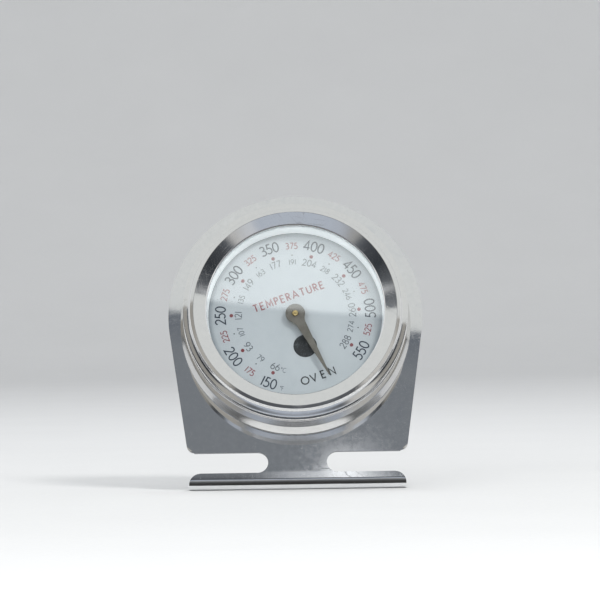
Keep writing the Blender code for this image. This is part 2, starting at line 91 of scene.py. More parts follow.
class Nodes:
    """Small builder for the node tree of a material or a world."""

    def __init__(self, owner):
        owner.use_nodes = True
        self.owner = owner
        self.tree = owner.node_tree
        self.tree.nodes.clear()
        self.object_coords = None

    def put(self, socket, value):
        """Link an output to the socket, or set the socket's value."""
        if hasattr(value, "is_output"):
            self.tree.links.new(value, socket)
        elif isinstance(value, tuple) and len(value) == 3 and socket.type == 'RGBA':
            socket.default_value = (*value, 1.0)
        else:
            socket.default_value = value

    def node(self, kind, inputs=None, **props):
        node = self.tree.nodes.new("ShaderNode" + kind)
        for key, value in props.items():
            setattr(node, key, value)
        for key, value in (inputs or {}).items():
            self.put(node.inputs[key], value)
        return node

    def out(self, shader, kind="OutputMaterial"):
        self.node(kind, {"Surface": shader})
        return self.owner

    def surface(self, color, rough, normal, metallic=0.0):
        shader = self.node("BsdfPrincipled", {
            "Base Color": color, "Metallic": metallic, "Roughness": rough,
            "Normal": normal})
        return self.out(shader.outputs[0])

    # ---- arithmetic
    def calc(self, operation, *values, clamp=False):
        return self.node("Math", dict(enumerate(values)), operation=operation,
                         use_clamp=clamp).outputs[0]

    def plus(self, a, b, clamp=False):
        return self.calc('ADD', a, b, clamp=clamp)

    def minus(self, a, b, clamp=False):
        return self.calc('SUBTRACT', a, b, clamp=clamp)

    def times(self, a, b, clamp=False):
        return self.calc('MULTIPLY', a, b, clamp=clamp)

    def add_part(self, base, extra, amount, clamp=False):
        return self.plus(base, self.times(extra, amount), clamp)

    def weighted(self, operation, first, second, weights):
        return self.calc(operation, self.times(first, weights[0]),
                         self.times(second, weights[1]))

    def step(self, value, span, to=(0.0, 1.0)):
        """Smooth step from to[0] to to[1] as the value crosses the span."""
        return self.node("MapRange", {
            "Value": value, "From Min": span[0], "From Max": span[1],
            "To Min": to[0], "To Max": to[1]},
            interpolation_type='SMOOTHSTEP').outputs["Result"]

    # ---- positions
    def coords(self):
        if self.object_coords is None:
            self.object_coords = self.node("TexCoord").outputs["Object"]
        return self.object_coords

    def split(self, vector):
        return self.node("SeparateXYZ", {0: vector}).outputs

    def radius(self, x, y):
        return self.calc('SQRT', self.plus(self.calc('POWER', x, 2.0),
                                           self.calc('POWER', y, 2.0)))

    def mapping(self, vector, scale=(1, 1, 1), turn=(0, 0, 0), shift=(0, 0, 0)):
        return self.node("Mapping", {"Vector": vector, "Scale": scale,
                                     "Rotation": turn, "Location": shift}).outputs[0]

    # ---- textures, in object coordinates unless told otherwise
    def noise(self, scale, detail=3.0, rough=0.55, distort=0.0, at=None):
        if at is None:
            at = self.coords()
        return self.node("TexNoise", {
            "Vector": at, "Scale": scale, "Detail": detail, "Roughness": rough,
            "Distortion": distort}).outputs["Fac"]

    def specks(self, scale, size, patch_scale, patches):
        """Small round specks, kept only where a broad noise is high."""
        cells = self.node("TexVoronoi", {"Vector": self.coords(), "Scale": scale})
        dots = self.step(cells.outputs["Distance"], span=size)
        keep = self.step(self.noise(scale=patch_scale, detail=1.0), span=patches)
        return self.times(dots, keep)

    def scratches(self, directions, cover):
        """Hair lines: thin ridges of stretched noise.

        Directions are (degrees, amount); a higher cover leaves fewer lines."""
        ridge_width, stretch = 0.012, (0.012, 1.0, 0.3)
        total = None
        for k, (angle, amount) in enumerate(directions):
            turned_at = self.mapping(self.coords(), turn=(0.0, 0.0, radians(angle)),
                                     shift=(0.013 * k, 0.007 * k, 0.003 * k))
            lines = self.noise(scale=1144.0, detail=0.0, rough=0.5,
                               at=self.mapping(turned_at, scale=stretch))
            off_ridge = self.calc('ABSOLUTE', self.minus(lines, 0.5))
            ridge = self.minus(1.0, self.calc('DIVIDE', off_ridge, ridge_width),
                               clamp=True)
            where = self.step(self.noise(scale=90.0 + 37.0 * k, detail=2.0),
                              span=(cover, cover + 0.1))
            line = self.times(self.times(ridge, where), amount)
            total = line if total is None else self.calc('MAXIMUM', total, line)
        return total

    # ---- colour and relief
    def mix(self, factor, a, b):
        return self.node("Mix", {0: factor, 6: a, 7: b}, data_type='RGBA').outputs[2]

    def tint(self, color, where, rgb, amount):
        return self.mix(self.times(where, amount), color, rgb)

    def bump(self, height, strength, dist, over=None):
        """Relief of the given depth in metres, on top of another if given."""
        inputs = {"Height": height, "Strength": strength, "Distance": dist}
        if over is not None:
            inputs["Normal"] = over
        return self.node("Bump", inputs).outputs[0]


def new_material(name):
    return Nodes(bpy.data.materials.new(name))


# ============================================================== materials
def steel_plate():
    """Bright polished sheet: soft waviness, pitting, handling scratches."""
    t = new_material("stand_sheet_steel")
    broad = t.noise(scale=38.0, detail=2.0, rough=0.5)
    mottle = t.noise(scale=900.0, detail=4.0, rough=0.62)
    grain = t.noise(scale=5200.0, detail=2.0, rough=0.7)
    specks = t.specks(scale=620.0, size=(0.10, 0.035), patch_scale=330.0,
                      patches=(0.56, 0.66))
    scratches = t.scratches(((12, .8), (63, .6), (118, .7), (-28, .5)), cover=0.56)
    rough = t.step(mottle, span=(0.3, 0.75), to=(0.025, 0.055))
    rough = t.add_part(rough, scratches, amount=0.10)
    rough = t.add_part(rough, specks, amount=0.25, clamp=True)
    color = t.mix(t.step(mottle, span=(0.3, 0.7)), (0.730, 0.738, 0.744),
                  (0.764, 0.769, 0.772))
    color = t.tint(color, t.step(broad, span=(0.35, 0.65)), (0.72, 0.735, 0.755),
                   amount=0.3)
    # darker and lighter clouds
    cloud = t.noise(scale=95.0, detail=3.0, rough=0.62, distort=0.4)
    color = t.mix(t.step(cloud, span=(0.44, 0.26), to=(0.0, 0.26)), color,
                  (0.560, 0.590, 0.640))
    color = t.mix(t.step(cloud, span=(0.56, 0.76), to=(0.0, 0.30)), color,
                  (0.860, 0.875, 0.900))
    color = t.tint(color, specks, (0.92, 0.93, 0.94), amount=0.35)
    waves = t.bump(t.noise(scale=34.0, detail=1.0, rough=0.4), strength=0.3,
                   dist=0.00002)
    skin = t.bump(t.weighted('ADD', mottle, grain, weights=(0.6, 0.25)),
                  strength=0.08, dist=0.000003, over=waves)
    marks = t.bump(t.weighted('SUBTRACT', specks, scratches, weights=(0.5, 0.5)),
                   strength=0.3, dist=0.000005, over=skin)
    return t.surface(color, rough, marks, metallic=1.0)


def steel_turned(name, base, dark, rough, line_scale, line_strength, scratch, cover,
                 wave):
    """Bright metal spun about local Z, with faint turning lines."""
    t = new_material(name)
    x, y, z = t.split(t.coords())
    radius = t.radius(x, y)
    angle = t.calc('ARCTAN2', y, x)
    # the angle counts for little, so the noise draws out into rings
    radius_scale, angle_scale = 1.0, 0.0006
    rings = t.node("CombineXYZ", {0: t.times(radius, radius_scale),
                                  1: t.times(angle, angle_scale), 2: z})
    turning = t.noise(scale=line_scale, detail=3.0, rough=0.6, at=rings.outputs[0])
    mottle = t.noise(scale=700.0, detail=4.0, rough=0.6)
    scratches = t.scratches(((8, .9), (47, .9), (81, .7), (131, .8)), cover=cover)
    specks = t.specks(scale=700.0, size=(0.09, 0.03), patch_scale=240.0,
                      patches=(0.58, 0.66))
    color = t.mix(t.step(mottle, span=(0.0, 1.0)), dark, base)
    color = t.tint(color, specks, (0.93, 0.93, 0.92), amount=0.7)
    rough = t.step(mottle, span=(0.1, 0.95), to=rough)
    rough = t.add_part(rough, scratches, amount=0.10 * scratch)
    rough = t.add_part(rough, specks, amount=0.25, clamp=True)
    waves = t.bump(t.noise(scale=60.0, detail=1.0, rough=0.4), strength=0.3,
                   dist=0.00002 * wave)
    lines = t.bump(turning, strength=line_strength, dist=0.000008, over=waves)
    marks = t.bump(t.weighted('SUBTRACT', mottle, scratches,
                              weights=(0.05, 0.25 * scratch)),
                   strength=0.25, dist=0.000006, over=lines)
    return t.surface(color, rough, marks, metallic=1.0)


def dial_face():
    """Satin pale blue-grey aluminium with a very fine grain."""
    t = new_material("dial_satin_aluminium")
    fine = t.noise(scale=6500.0, detail=2.0, rough=0.7)
    middle = t.noise(scale=420.0, detail=3.0, rough=0.6)
    broad = t.noise(scale=45.0, detail=2.0, rough=0.5)
    color = t.mix(t.step(broad, span=(0.3, 0.7)), (0.376, 0.398, 0.424),
                  (0.402, 0.424, 0.448))
    color = t.tint(color, t.step(fine, span=(0.35, 0.7)), (0.46, 0.480, 0.502),
                   amount=0.35)
    color = t.tint(color, t.step(middle, span=(0.45, 0.7)), (0.335, 0.360, 0.390),
                   amount=0.15)
    # painted shade: darker towards the rim, where the spacer and bezel shade the dial
    x, y, _ = t.split(t.coords())
    color = t.mix(t.step(t.radius(x, y), span=(0.0212, 0.0225), to=(0.0, 0.8)), color,
                  (0.245, 0.265, 0.290))
    rough = t.step(middle, span=(0.3, 0.7), to=(0.40, 0.50))
    return t.surface(color, rough, t.bump(fine, strength=0.22, dist=0.000012),
                     metallic=0.25)


def ink(name, rgb, worn):
    """Printed ink, worn thin in fine grains and faded in patches."""
    t = new_material(name)
    thin = t.noise(scale=7000.0, detail=2.0, rough=0.7)
    patch = t.noise(scale=800.0, detail=2.0, rough=0.5)
    color = t.tint(rgb, t.step(thin, span=(0.5, 0.8)), (0.50, 0.55, 0.60), amount=worn)
    color = t.tint(color, t.step(patch, span=(0.5, 0.8)), (0.30, 0.32, 0.35),
                   amount=0.15)
    relief = t.bump(thin, strength=0.2, dist=0.000005)
    return t.surface(color, t.step(patch, span=(0.3, 0.7), to=(0.42, 0.6)), relief)


def glass():
    """Clear flat window glass that lets light through to the dial."""
    t = new_material("lens_clear_glass")
    smear = t.noise(scale=60.0, detail=3.0, rough=0.6, distort=0.6)
    dust = t.specks(scale=520.0, size=(0.07, 0.02), patch_scale=200.0,
                    patches=(0.60, 0.68))
    rough = t.step(smear, span=(0.4, 0.75), to=(0.065, 0.085))
    clear = t.node("BsdfTransparent", {"Color": (0.972, 0.985, 0.985)})
    dusty = t.node("BsdfDiffuse", {"Color": (0.85, 0.86, 0.87)})
    fresnel = t.node("Fresnel", {"IOR": 1.52})
    # painted reflection: the gloss is boosted far above plain Fresnel beyond a slightly slanting
    # elevation, in degrees
    x, _, z = t.split(t.node("TexCoord").outputs["Reflection"])
    lift = t.times(t.calc('ARCSINE', z), DEG_PER_RAD)
    lift = t.add_part(lift, x, amount=6.9)
    painted_reflection = t.times(fresnel.outputs[0],
                    t.step(lift, span=(37.45, 38.06), to=(0.15, 6.8)), clamp=True)
    # only the outer side seen straight from the camera reflects
    camera_ray = t.node("LightPath").outputs["Is Camera Ray"]
    outer = t.minus(1.0, t.node("NewGeometry").outputs["Backfacing"])
    painted_reflection = t.times(painted_reflection, t.times(outer, camera_ray))
    gloss = t.node("BsdfGlossy", {
        "Color": t.mix(painted_reflection, (0.0, 0.0, 0.0), (0.97, 1.0, 1.0)),
        "Roughness": rough,
        "Normal": t.bump(smear, strength=0.02, dist=0.00001)})
    clean = t.node("AddShader", {0: clear.outputs[0], 1: gloss.outputs[0]})
    dust_amount = 0.35
    return t.out(t.node("MixShader", {
        0: t.times(dust, dust_amount), 1: clean.outputs[0],
        2: dusty.outputs[0]}).outputs[0])


def satin(name, low, high, metallic, rough, grain=3000.0, bump=0.15, stretch=None):
    """Plain satin metal or rubber with fine grain and cloudy variation."""
    t = new_material(name)
    fine = t.noise(scale=grain, detail=3.0, rough=0.65)
    cloud = t.noise(scale=grain * 0.12, detail=3.0, rough=0.6)
    color = t.mix(t.step(cloud, span=(0.3, 0.7)), low, high)
    lighter = tuple(min(1.0, c * 1.35) for c in high)
    color = t.tint(color, t.step(fine, span=(0.55, 0.8)), lighter, amount=0.3)
    relief = t.bump(fine, strength=bump, dist=0.00001)
    if stretch:
        drawn = t.noise(scale=900.0, detail=3.0, rough=0.6,
                        at=t.mapping(t.coords(), scale=stretch))
        relief = t.bump(drawn, strength=0.25, dist=0.00002, over=relief)
    return t.surface(color, t.step(cloud, span=(0.3, 0.7), to=rough), relief,
                     metallic=metallic)


def bimetal():
    """Metal strip with heat colours and drawn grain."""
    t = new_material("bimetal_strip")
    heat = t.noise(scale=160.0, detail=2.0, rough=0.5, distort=0.8)
    fine = t.noise(scale=2600.0, detail=3.0, rough=0.6,
                   at=t.mapping(t.coords(), scale=(1, 1, 10)))
    color = t.mix(t.step(heat, span=(0.35, 0.65)), (0.46, 0.38, 0.27),
                  (0.56, 0.53, 0.50))
    return t.surface(color, t.step(fine, span=(0.3, 0.7), to=(0.26, 0.40)),
                     t.bump(fine, strength=0.3, dist=0.00001), metallic=1.0)


PLATE_STEEL = steel_plate()
CASE_STEEL = steel_turned(
    "case_drawn_steel", base=(0.79, 0.78, 0.765), dark=(0.74, 0.73, 0.715),
    rough=(0.07, 0.13), line_scale=3000.0, line_strength=0.25, scratch=0.6, cover=0.57,
    wave=0.6)
BEZEL_STEEL = steel_turned(
    "bezel_polished", base=(0.78, 0.78, 0.775), dark=(0.73, 0.735, 0.74),
    rough=(0.045, 0.09), line_scale=4200.0, line_strength=0.10, scratch=1.4, cover=0.50,
    wave=0.5)
GLASS = glass()
DIAL_METAL = dial_face()
SPACER_METAL = satin("spacer_satin_aluminium", (0.90, 0.92, 0.94), (0.94, 0.955, 0.97),
                     metallic=0.15, rough=(0.35, 0.45), grain=2200.0, bump=0.03)
NAVY_INK = ink("ink_navy", (0.012, 0.018, 0.032), worn=0.12)
RED_INK = ink("ink_red", (0.150, 0.028, 0.034), worn=0.22)
THIN_RED_INK = ink("ink_red_thin", (0.190, 0.045, 0.050), worn=0.22)
GREY_INK = ink("ink_grey", (0.070, 0.078, 0.090), worn=0.22)
BLACK_INK = ink("ink_black", (0.016, 0.017, 0.019), worn=0.08)
BRONZE = satin("pointer_dark_bronze", (0.100, 0.092, 0.080), (0.135, 0.125, 0.112),
               metallic=0.25, rough=(0.38, 0.52), grain=4200.0, bump=0.25)
BRONZE_EDGE = satin("pointer_edge", (0.030, 0.029, 0.028), (0.050, 0.048, 0.045),
                    metallic=0.3, rough=(0.4, 0.5), grain=4200.0, bump=0.2)
BRASS = satin("brass_turned", (0.70, 0.50, 0.20), (0.80, 0.61, 0.30), metallic=1.0,
              rough=(0.20, 0.32), grain=3800.0, bump=0.2, stretch=(1, 1, 14))
ZINC_STEEL = satin("plain_zinc_steel", (0.44, 0.45, 0.46), (0.56, 0.57, 0.58),
                   metallic=1.0, rough=(0.26, 0.42), grain=3000.0, bump=0.25,
                   stretch=(12, 1, 1))
MILL_METAL = satin("mill_aluminium", (0.66, 0.67, 0.68), (0.76, 0.77, 0.77),
                   metallic=1.0, rough=(0.32, 0.45), grain=2600.0, bump=0.2,
                   stretch=(1, 1, 12))
CUT_EDGE = satin("sheet_cut_edge", (0.74, 0.75, 0.755), (0.86, 0.87, 0.87),
                 metallic=0.4, rough=(0.32, 0.46), grain=3000.0, bump=0.2,
                 stretch=(12, 1, 1))
RUBBER = satin("gasket_silicone", (0.060, 0.058, 0.055), (0.085, 0.082, 0.078),
               metallic=0.0, rough=(0.6, 0.75), grain=3500.0, bump=0.3)
BIMETAL = bimetal()


# ======================================================== geometry helpers
def add_object(name, bm, materials, body, matrix=HEAD, smooth=35.0,
               replaces=None):
    bmesh.ops.remove_doubles(bm, verts=bm.verts[:], dist=1e-4)
    bmesh.ops.recalc_face_normals(bm, faces=bm.faces[:])
    bmesh.ops.scale(bm, vec=(MM,) * 3, verts=bm.verts[:])
    mesh = bpy.data.meshes.new(name)
    bm.to_mesh(mesh)
    bm.free()
    for material in materials:
        mesh.materials.append(material)
    mesh.shade_smooth()
    mesh.set_sharp_from_angle(angle=radians(smooth))
    ob = link_object(name, mesh)
    ob.matrix_world = matrix.copy()
    bpy.context.view_layer.update()
    if replaces:
        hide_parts(replaces)
    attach(ob, body)
    return ob


def link_object(name, data):
    ob = bpy.data.objects.new(name, data)
    bpy.context.collection.objects.link(ob)
    return ob


def edge_round(ob, width, segments, angle_deg):
    bevel = ob.modifiers.new("edge_round", 'BEVEL')
    bevel.width = width
    bevel.segments = segments
    bevel.limit_method = 'ANGLE'
    bevel.angle_limit = radians(angle_deg)
    return bevel


def flat_normals(ob, weight):
    modifier = ob.modifiers.new("flat_normals", 'WEIGHTED_NORMAL')
    modifier.mode = 'FACE_AREA'
    modifier.weight = weight


def oval(cx, cy, rx, ry, start=0.0, end=360.0, steps=28):
    """Points on an ellipse between two angles in degrees."""
    angles = [radians(start + (end - start) * i / steps) for i in range(steps + 1)]
    return [(cx + rx * cos(a), cy + ry * sin(a)) for a in angles]


def arc(cx, cy, r, start, end, steps):
    """Points on a circle between two angles in radians."""
    angles = [start + (end - start) * i / steps for i in range(steps + 1)]
    return [(cx + r * cos(a), cy + r * sin(a)) for a in angles]


def mirrored(points):
    return [(-x, y) for x, y in reversed(points)]


def fill_loops(loops, z=0.0):
    """Flat sheet inside the first loop, with the other loops as holes."""
    bm = bmesh.new()
    edges = []
    for loop in loops:
        verts = [bm.verts.new((x, y, z)) for x, y in loop]
        for i, vert in enumerate(verts):
            edges.append(bm.edges.new((vert, verts[(i + 1) % len(verts)])))
    bmesh.ops.triangle_fill(bm, use_beauty=True, edges=edges)
    return bm


def thicken(bm, by):
    """Extrude the whole sheet along Z."""
    out = bmesh.ops.extrude_face_region(bm, geom=bm.faces[:], use_keep_orig=True)
    bmesh.ops.translate(bm, vec=(0, 0, by), verts=[
        g for g in out["geom"] if isinstance(g, bmesh.types.BMVert)])


def round_corners(points, step_deg):
    """Points (r, h, fillet radius) to a smooth profile of (r, h)."""
    out = []
    for i, (r, h, rounding) in enumerate(points):
        corner = Vector((r, h))
        before = Vector(points[i - 1][:2]) - corner
        after = Vector(points[(i + 1) % len(points)][:2]) - corner
        reach = min(before.length, after.length)
        if rounding <= 0:
            out.append((r, h))
            continue
        before.normalize()
        after.normalize()
        angle = before.angle(after)
        if angle > pi - 0.02:           # nearly straight on: nothing to round
            out.append((r, h))
            continue
        back = min(rounding / tan(angle / 2), reach * 0.49)
        radius = back * tan(angle / 2)
        centre = corner + (before + after).normalized() * (radius / sin(angle / 2))
        first = corner + before * back - centre
        last = corner + after * back - centre
        start, end = atan2(first.y, first.x), atan2(last.y, last.x)
        while end - start > pi:
            end -= 2 * pi
        while end - start < -pi:
            end += 2 * pi
        steps = max(1, ceil(abs(degrees(end - start)) / step_deg))
        out += arc(centre.x, centre.y, radius, start, end, steps)
    return out


def lathe(profile, around):
    """Spin a closed profile, or one that starts and ends on the axis, about Z."""
    bm = bmesh.new()
    rings = []
    for r, h in profile:
        if r < 1e-6:
            rings.append([bm.verts.new((0, 0, h))])
        else:
            rings.append([bm.verts.new((r * cos(2 * pi * i / around),
                                        r * sin(2 * pi * i / around), h))
                          for i in range(around)])
    for a, b in zip(rings, rings[1:] + rings[:1]):
        if len(a) == 1 and len(b) == 1:
            continue
        for i in range(around):
            j = (i + 1) % around
            if len(a) == 1:
                bm.faces.new((a[0], b[j], b[i]))
            elif len(b) == 1:
                bm.faces.new((a[i], a[j], b[0]))
            else:
                bm.faces.new((a[i], a[j], b[j], b[i]))
    return bm


def turned(name, points, around, material, replaces, body="head", matrix=HEAD,
           smooth=35.0, step_deg=14.0):
    """Round piece from a profile of (radius, height, fillet radius), in mm."""
    return add_object(name, lathe(round_corners(points, step_deg), around), (material,),
                      body, matrix, smooth, replaces)


# ============================================================ stand sheet
def stand_outline():
    """Flat outline as (x, along): round top, straight flanks, a slot cut in
    from each side, and the foot below."""
    top_r, top_centre = 33.25, AXIS_ALONG + 2.35
    shoulder_x, shoulder, shoulder_r = 28.4, AXIS_ALONG - 34.7, 2.2
    slot_bottom, neck_x = AXIS_ALONG - 40.2, 7.6
    slot_r = 0.5 * (shoulder - slot_bottom)
    foot_x, foot_end = 28.1, -BEND_LEN - 24.5
    foot_top_r, foot_end_r = 3.0, 4.0

    # flank: from the shoulder corner, tangent to the round top
    rise = shoulder - top_centre
    tangent = (atan2(rise, shoulder_x)
               + acos(top_r / sqrt(shoulder_x * shoulder_x + rise * rise)))
    flank = Vector((shoulder_x - top_r * cos(tangent),
                    shoulder - (top_centre + top_r * sin(tangent)))).normalized()
    inward = Vector((-1.0, 0.0))
    corner = Vector((shoulder_x, shoulder))
    half = 0.5 * (-flank).angle(inward)
    back = shoulder_r / tan(half)
    centre = corner + ((-flank) + inward).normalized() * (shoulder_r / sin(half))
    first = corner - flank * back - centre
    last = corner + inward * back - centre

    right = arc(0, top_centre, top_r, pi / 2, tangent, 90)
    right += arc(centre.x, centre.y, shoulder_r, atan2(first.y, first.x),
                 atan2(last.y, last.x), 12)
    right += oval(neck_x + slot_r, slot_bottom + slot_r, slot_r, slot_r, 90, 270, 28)
    right += oval(foot_x - foot_top_r, slot_bottom - foot_top_r, foot_top_r, foot_top_r,
                  90, 0, 16)
    right += oval(foot_x - foot_end_r, foot_end + foot_end_r, foot_end_r, foot_end_r,
                  0, -90, 18)
    return right + mirrored(right[1:])


def fold(point):
    """Bend a point of the flat sheet: leaning plate, bend, foot on the floor."""
    x, along, depth = point
    if along >= 0:
        near = max(0.0, (EASE_LEN - along) / EASE_LEN)
        place = (BEND_CENTRE + FACE_OUT * (BEND_R + depth - EASE_DIP * near ** 3)
                 + UP * along)
    elif along > -BEND_LEN:
        left = 1 + along / BEND_LEN         # share of the bend still to come
        ease = EASE_ANGLE * left
        angle = ease + (BEND_ANGLE - ease) * (-along / BEND_LEN)
        place = BEND_CENTRE + (FACE_OUT * cos(angle) - UP * sin(angle)) * (
            BEND_R + depth - EASE_DIP * left)
        place += UP * (BEND_R * sin(EASE_ANGLE)) * left
    else:
        place = BEND_CENTRE + Vector((0, -BEND_LEN - along, -(BEND_R + depth)))
    return Vector((x, place.y, place.z))


def stand():
    axis_hole_r, bend_steps, ease_steps = 2.1, 28, 8
    hole = oval(0, AXIS_ALONG, axis_hole_r, axis_hole_r, 0, 360, 64)[:-1]
    bm = fill_loops((stand_outline(), hole))
    # rows of edges across the bend and its run-in, so the sheet can fold
    for cut in ([-BEND_LEN * k / bend_steps for k in range(bend_steps + 1)]
                + [EASE_LEN * k / ease_steps for k in range(1, ease_steps + 1)]):
        bmesh.ops.bisect_plane(
            bm, geom=bm.verts[:] + bm.edges[:] + bm.faces[:], dist=1e-5,
            plane_co=(0, cut, 0), plane_no=(0, 1, 0))
    bmesh.ops.triangulate(bm, faces=bm.faces[:])
    thicken(bm, -SHEET_T)
    for vert in bm.verts:
        vert.co = fold(vert.co)
    ob = add_object("stand_sheet", bm, (PLATE_STEEL, CUT_EDGE), "stand",
                    Matrix.Identity(4), smooth=50.0, replaces="stand_plate")
    edge_round(ob, width=0.00033, segments=3, angle_deg=55).material = 1
    flat_normals(ob, weight=60)
    ob.data.shade_smooth()


stand()

# ======================================================== case and bezel
case = turned("case_shell", [
    (2.1, 0.95, .1), (8.5, 0.95, .6), (9.6, CASE_BACK, .6), (29.8, CASE_BACK, .1),
    (30.08, CASE_BACK + .10, .08), (29.62, 2.2, 6.0), (29.20, 3.9, 1.5),
    (29.20, 8.87, .08), (28.95, 8.95, .08),
    (28.3, 8.95, .1), (28.3, 11.95, .1), (27.8, 11.95, .1), (27.8, 8.75, .2),
    (28.55, 8.3, .2), (28.55, 1.35, .4), (28.1, 0.85, .3), (9.9, 0.85, .6),
    (8.8, 1.5, .6), (2.1, 1.5, .1)],
    224, CASE_STEEL, "case_cup", smooth=40)

bezel = turned("bezel_shell", [
    (28.55, 9.1, .1), (28.95, 9.1, .10), (29.20, 12.48, .09),
    (28.75, 12.587, .8), (28.25, 12.709, .8),
    (27.66, 12.860, .12), (27.40, 13.72, .18), (27.28, 13.79, .2),
    (26.4, 13.94, .35),
    (23.35, 12.99, .25), (22.98, 12.72, .18),
    (23.1, 12.45, .10), (25.8, 13.26, .5), (26.35, 13.40, .4),
    (26.8, 13.25, .3), (27.08, 12.5, .2), (27.4, 12.18, .15),
    (28.6, 12.18, .15)],
    256, BEZEL_STEEL, "bezel_ring", smooth=40, step_deg=10)

for shell in (case, bezel):
    flat_normals(shell, weight=55)

# =============================================== lens, inner rings and dial
turned("lens_disc", [
    (0, LENS_BOTTOM, 0), (LENS_R, LENS_BOTTOM, .12),
    (LENS_R, LENS_BOTTOM + LENS_T, .25), (0, LENS_BOTTOM + LENS_T, 0)],
    192, GLASS, "lens",
    matrix=HEAD @ Matrix.Translation((0, 0, LENS_PIVOT * MM))
    @ Matrix.Rotation(radians(LENS_TILT), 4, 'X')
    @ Matrix.Translation((0, 0, -LENS_PIVOT * MM)))

turned("spacer_wall", [
    (22.6, 7.7, .06), (23.05, 7.7, .06), (23.75, 10.2, .2), (26.5, 10.2, .2),
    (26.5, 7.7, .06), (26.95, 7.7, .06), (26.95, 10.7, .3), (23.5, 10.7, .15)],
    224, SPACER_METAL, "spacer_ring", smooth=40)

turned("lens_seal", [
    (26.75, 11.0, .12), (27.5, 11.0, .12), (27.5, 11.9, .12), (26.75, 11.9, .12)],
    160, RUBBER, "lens_gasket")

turned("dial_disc", [
    (1.55, DIAL_TOP - DIAL_T, .05), (DIAL_R, DIAL_TOP - DIAL_T, .08),
    (DIAL_R, DIAL_TOP, .08), (1.55, DIAL_TOP, .05)],
    192, DIAL_METAL, "dial_plate")

# ========================================================== swivel parts
turned("swivel_rivet_head", [
    (0, -2.75, 0), (1.5, -2.66, .8), (2.7, -2.25, .8), (3.2, -1.75, .12),
    (1.9, -1.75, .1), (1.9, 1.7, .1), (3.0, 1.7, .12), (2.8, 2.25, .3),
    (1.4, 2.35, .3), (0, 2.35, 0)],
    96, ZINC_STEEL, "swivel_rivet", step_deg=8)

turned("rear_flat_washer", [
    (2.15, -1.5, .08), (5.0, -1.5, .14), (5.0, -1.05, .08), (2.15, -1.05, .08)],
    96, ZINC_STEEL, "rear_washer", body="stand")


# ============================================================ dial print
INK_T = 0.02                     # ink film thickness, so the print is solid
INK_Z = DIAL_TOP + 0.004


def curve(p0, p1, p2, p3, steps=14):
    """Points on a cubic Bezier curve."""
    out = []
    for i in range(steps + 1):
        t = i / steps
        weights = (1 - t) ** 3, 3 * t * (1 - t) ** 2, 3 * t * t * (1 - t), t ** 3
        out.append(tuple(weights[0] * p0[k] + weights[1] * p1[k]
                         + weights[2] * p2[k] + weights[3] * p3[k] for k in (0, 1)))
    return out


# each glyph: (width, strokes); a stroke is a list of points, height 1;
# "*" is the degree ring
GLYPHS = {
    "0": (0.58, [oval(0.29, 0.5, 0.27, 0.49)]),
    "1": (0.16, [[(0.08, 0.0), (0.08, 1.0)]]),
    "2": (0.54, [oval(0.26, 0.73, 0.235, 0.255, 165, -32, 16)
                 + [(0.02, 0.01), (0.53, 0.01)]]),
    "3": (0.52, [oval(0.23, 0.755, 0.215, 0.235, 145, -88, 16)
                 + oval(0.22, 0.262, 0.27, 0.255, 88, -140, 18)]),
    "4": (0.60, [[(0.43, 0.0), (0.43, 0.98), (0.02, 0.27), (0.59, 0.27)]]),
    "5": (0.50, [[(0.44, 0.99), (0.12, 0.99), (0.07, 0.575)]
                 + oval(0.20, 0.305, 0.28, 0.30, 112, -140, 20)]),
    "6": (0.56, [curve((0.42, 0.99), (0.20, 0.80), (0.02, 0.55), (0.01, 0.31))
                 + oval(0.28, 0.295, 0.27, 0.285, 180, 540, 28)]),
    "7": (0.54, [[(0.02, 0.99), (0.51, 0.99), (0.16, 0.0)]]),
    "8": (0.54, [oval(0.27, 0.755, 0.20, 0.235), oval(0.27, 0.262, 0.255, 0.252)]),
    "9": (0.56, [curve((0.14, 0.01), (0.36, 0.20), (0.54, 0.45), (0.55, 0.69))
                 + oval(0.28, 0.705, 0.27, 0.285, 0, 360, 28)]),
    "*": (0.26, [oval(0.13, 0.86, 0.11, 0.12, 0, 360, 14)]),
    "F": (0.44, [[(0.42, 0.99), (0.03, 0.99), (0.03, 0.0)],
                 [(0.03, 0.53), (0.36, 0.53)]]),
    "C": (0.64, [oval(0.42, 0.5, 0.38, 0.49, 52, 308, 24)]),
    "O": (1.00, [oval(0.50, 0.5, 0.49, 0.49, 0, 360, 36)]),
    "V": (0.80, [[(0.0, 1.0), (0.40, 0.0), (0.80, 1.0)]]),
    "E": (0.50, [[(0.49, 0.99), (0.03, 0.99), (0.03, 0.01), (0.50, 0.01)],
                 [(0.03, 0.52), (0.44, 0.52)]]),
    "N": (0.74, [[(0.03, 0.0), (0.03, 1.0), (0.71, 0.0), (0.71, 1.0)]]),
    "T": (0.60, [[(0.0, 0.99), (0.60, 0.99)], [(0.30, 0.99), (0.30, 0.0)]]),
    "M": (0.86, [[(0.03, 0.0), (0.09, 1.0), (0.43, 0.25), (0.77, 1.0), (0.83, 0.0)]]),
    "P": (0.48, [[(0.03, 0.0), (0.03, 0.99), (0.20, 0.99)]
                 + oval(0.20, 0.74, 0.25, 0.25, 90, -90, 14)
                 + [(0.03, 0.49)]]),
    "R": (0.52, [[(0.03, 0.0), (0.03, 0.99), (0.20, 0.99)]
                 + oval(0.20, 0.745, 0.25, 0.245, 90, -90, 14)
                 + [(0.03, 0.50)], [(0.20, 0.50), (0.51, 0.0)]]),
    "A": (0.76, [[(0.0, 0.0), (0.38, 1.0), (0.76, 0.0)],
                 [(0.13, 0.33), (0.63, 0.33)]]),
    "U": (0.62, [[(0.03, 1.0), (0.03, 0.30)]
                 + oval(0.31, 0.30, 0.28, 0.29, 180, 360, 16)
                 + [(0.59, 1.0)]]),
}


